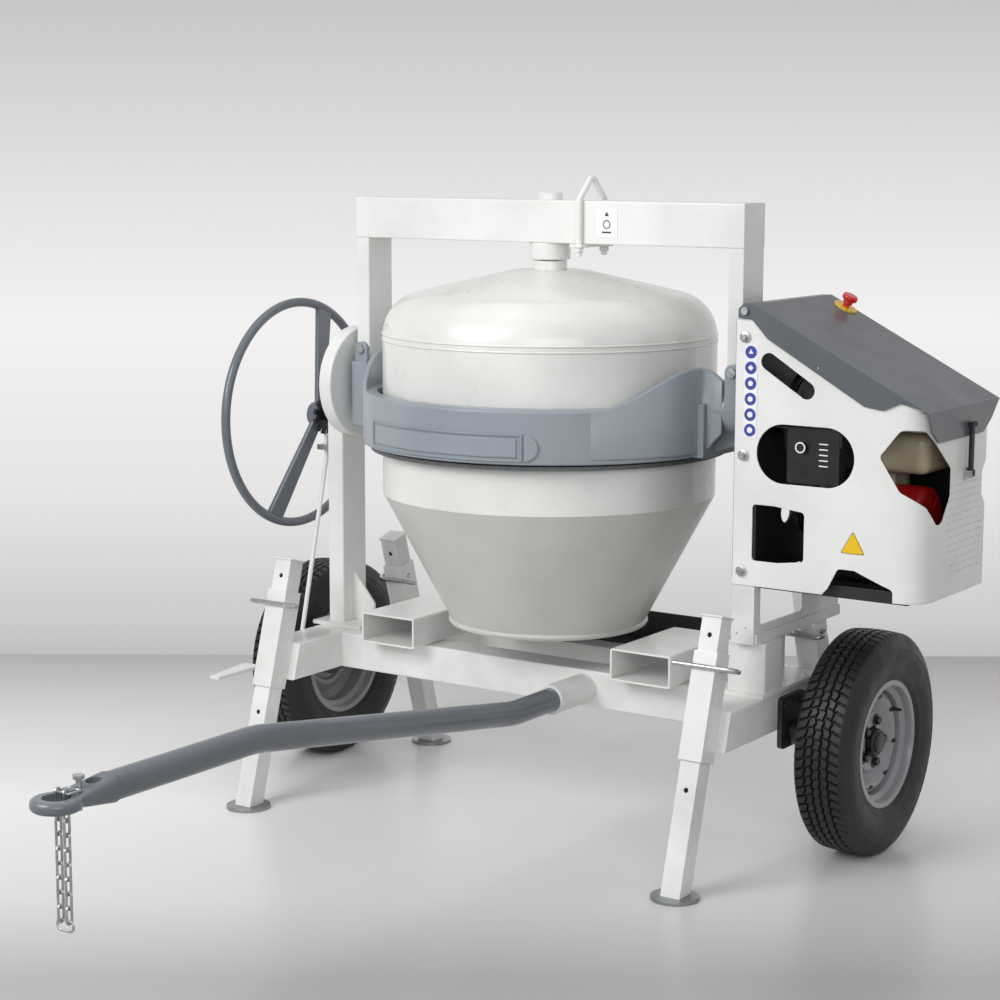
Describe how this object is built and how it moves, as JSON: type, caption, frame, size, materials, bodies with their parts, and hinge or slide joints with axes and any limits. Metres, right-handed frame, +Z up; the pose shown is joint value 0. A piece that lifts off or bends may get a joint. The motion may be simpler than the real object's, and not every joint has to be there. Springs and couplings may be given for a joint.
{
  "type": "concrete mixer",
  "caption": "Towable concrete mixer with a tilting drum in an arch, a handwheel with foot lock, a housed engine, two tyres, four pinned legs and a towbar with an eye.",
  "frame": {"origin": "middle of the footprint, on the ground", "axes": "+X towards the engine side, -Y towards the towing eye, +Z up"},
  "size_m": [1.994, 2.4035, 1.6084],
  "materials": {
    "cream_paint": "semi-gloss",
    "slate_paint": "semi-gloss",
    "dark_paint": "satin",
    "red_paint": "semi-gloss",
    "beige_paint": "semi-gloss",
    "cone_paint": "semi-gloss",
    "silver_paint": "satin",
    "zinc_steel": "satin",
    "cast_iron": "rough",
    "black_plastic": "matte",
    "yellow_plastic": "gloss",
    "red_plastic": "gloss",
    "black_rubber": "matte",
    "tyre_rubber": "matte"
  },
  "bodies": {
    "chassis": {"cross_beams": "cream_paint", "side_beams": "cream_paint", "leg_sleeves": "cream_paint", "fork_pockets": "cream_paint", "rear_guard": "dark_paint", "axle": "dark_paint", "towbar": "slate_paint", "towing_eye": "slate_paint", "left_post": "cream_paint", "gear_cover": "cream_paint", "shaft_bearings": "cast_iron", "support_pedestal": "cream_paint", "fixings": "zinc_steel", "engine_carrier": "cream_paint", "engine_tray": "dark_paint", "engine_block": "dark_paint", "recoil_cover": "red_paint", "fuel_tank": "beige_paint", "air_filter": "black_plastic", "muffler": "cast_iron", "control_box": "black_plastic", "housing_panel": "cream_paint", "drive_belt": "black_rubber"},
    "tilt_frame": {"arch": "cream_paint", "hub_bearing": "cream_paint", "lifting_hoop": "zinc_steel", "yoke": "slate_paint", "yoke_bolts": "zinc_steel", "trunnions": "zinc_steel", "tilt_wheel": "cast_iron"},
    "drum": {"drum_shell": "cream_paint", "drum_cone": "cone_paint", "crown_gear": "cast_iron", "drum_hub": "cast_iron", "mixing_blades": "cream_paint"},
    "drive_shaft": {"drum_pinion": "cast_iron"},
    "crankshaft": {"engine_pulley": "cast_iron"},
    "handwheel": {"handwheel": "slate_paint", "tilt_pinion": "cast_iron", "lock_disc": "cast_iron"},
    "lock_rod": {"lock_rod": "cream_paint"},
    "pedal": {"pedal_lever": "cream_paint"},
    "wheel_left": {"tyre_left": "tyre_rubber", "rim_left": "silver_paint"},
    "wheel_right": {"tyre_right": "tyre_rubber", "rim_right": "silver_paint"},
    "hood": {"hood": "slate_paint", "estop_collar": "yellow_plastic"},
    "estop_button": {"estop_button": "red_plastic"},
    "hood_latch": {"hood_latch": "black_rubber"},
    "tow_chain": {"tow_chain": "zinc_steel"},
    "leg_front_left": {"leg_front_left": "cream_paint"},
    "leg_pin_front_left": {"leg_pin_front_left": "zinc_steel"},
    "leg_front_right": {"leg_front_right": "cream_paint"},
    "leg_pin_front_right": {"leg_pin_front_right": "zinc_steel"},
    "leg_rear_left": {"leg_rear_left": "cream_paint"},
    "leg_pin_rear_left": {"leg_pin_rear_left": "zinc_steel"},
    "leg_rear_right": {"leg_rear_right": "cream_paint"},
    "leg_pin_rear_right": {"leg_pin_rear_right": "zinc_steel"}
  },
  "joints": [
    {"name": "tilt", "type": "hinge", "parent": "chassis", "child": "tilt_frame", "pos_m": [-0.1045, 0.74975, 1.063], "axis": [1, 0, 0], "range_deg": [0, 140]},
    {"name": "drum_spin", "type": "hinge", "parent": "tilt_frame", "child": "drum", "pos_m": [-0.1045, 0.74975, 1.063], "axis": [0, 0, 1], "continuous": true},
    {"name": "pinion_spin", "type": "hinge", "parent": "tilt_frame", "child": "drive_shaft", "pos_m": [0.3365, 0.74975, 1.063], "axis": [1, 0, 0], "continuous": true},
    {"name": "crank_spin", "type": "hinge", "parent": "chassis", "child": "crankshaft", "pos_m": [0.5955, 0.74975, 0.83], "axis": [1, 0, 0], "continuous": true},
    {"name": "handwheel_turn", "type": "hinge", "parent": "chassis", "child": "handwheel", "pos_m": [-0.8425, 0.74975, 0.965], "axis": [1, 0, 0], "range_deg": [-420, 0]},
    {"name": "pedal_press", "type": "hinge", "parent": "chassis", "child": "pedal", "pos_m": [-0.8165, 0.84775, 0.372], "axis": [-1, 0, 0], "range_deg": [0, 2.87], "stiffness_Nm_per_rad": 200, "springref_deg": 4.01},
    {"name": "lock_rod_lift", "type": "slide", "parent": "chassis", "child": "lock_rod", "axis": [0, 0, 1], "range_m": [0, 0.0112]},
    {"name": "wheel_left_spin", "type": "hinge", "parent": "chassis", "child": "wheel_left", "pos_m": [-0.9245, 0.88775, 0.2695], "axis": [1, 0, 0], "continuous": true},
    {"name": "wheel_right_spin", "type": "hinge", "parent": "chassis", "child": "wheel_right", "pos_m": [0.7155, 0.88775, 0.2695], "axis": [1, 0, 0], "continuous": true},
    {"name": "leg_front_left_slide", "type": "slide", "parent": "chassis", "child": "leg_front_left", "axis": [0, 0.2756, 0.9613], "range_m": [0, 0.204]},
    {"name": "leg_pin_front_left_pull", "type": "slide", "parent": "chassis", "child": "leg_pin_front_left", "axis": [-1, 0, 0], "range_m": [0, 0.062]},
    {"name": "leg_front_right_slide", "type": "slide", "parent": "chassis", "child": "leg_front_right", "axis": [0, 0.2756, 0.9613], "range_m": [0, 0.204]},
    {"name": "leg_pin_front_right_pull", "type": "slide", "parent": "chassis", "child": "leg_pin_front_right", "axis": [1, 0, 0], "range_m": [0, 0.062]},
    {"name": "leg_rear_left_slide", "type": "slide", "parent": "chassis", "child": "leg_rear_left", "axis": [0, -0.2756, 0.9613], "range_m": [0, 0.204]},
    {"name": "leg_pin_rear_left_pull", "type": "slide", "parent": "chassis", "child": "leg_pin_rear_left", "axis": [-1, 0, 0], "range_m": [0, 0.062]},
    {"name": "leg_rear_right_slide", "type": "slide", "parent": "chassis", "child": "leg_rear_right", "axis": [0, -0.2756, 0.9613], "range_m": [0, 0.204]},
    {"name": "leg_pin_rear_right_pull", "type": "slide", "parent": "chassis", "child": "leg_pin_rear_right", "axis": [1, 0, 0], "range_m": [0, 0.062]},
    {"name": "hood_open", "type": "hinge", "parent": "chassis", "child": "hood", "pos_m": [0.5285, 0.74975, 1.309], "axis": [0, -1, 0], "range_deg": [0, 70]},
    {"name": "estop_press", "type": "slide", "parent": "hood", "child": "estop_button", "axis": [-0.4554, 0, -0.8903], "range_m": [0, 0.004], "stiffness_N_per_m": 2000, "springref_m": -0.001},
    {"name": "hood_latch_turn", "type": "hinge", "parent": "chassis", "child": "hood_latch", "pos_m": [0.9885, 0.81575, 0.948], "axis": [0, 1, 0], "range_deg": [0, 110]},
    {"name": "tow_chain_swing", "type": "hinge", "parent": "chassis", "child": "tow_chain", "pos_m": [0.0765, -1.13925, 0.52], "axis": [1, 0, 0], "range_deg": [-15, 2]}
  ],
  "couplings": [
    {"joint": "pinion_spin", "follows": "drum_spin", "ratio": 10.5},
    {"joint": "crank_spin", "follows": "drum_spin", "ratio": 25.421},
    {"joint": "handwheel_turn", "follows": "tilt", "ratio": -3},
    {"joint": "lock_rod_lift", "follows": "pedal_press", "m_per_rad": 0.22}
  ]
}
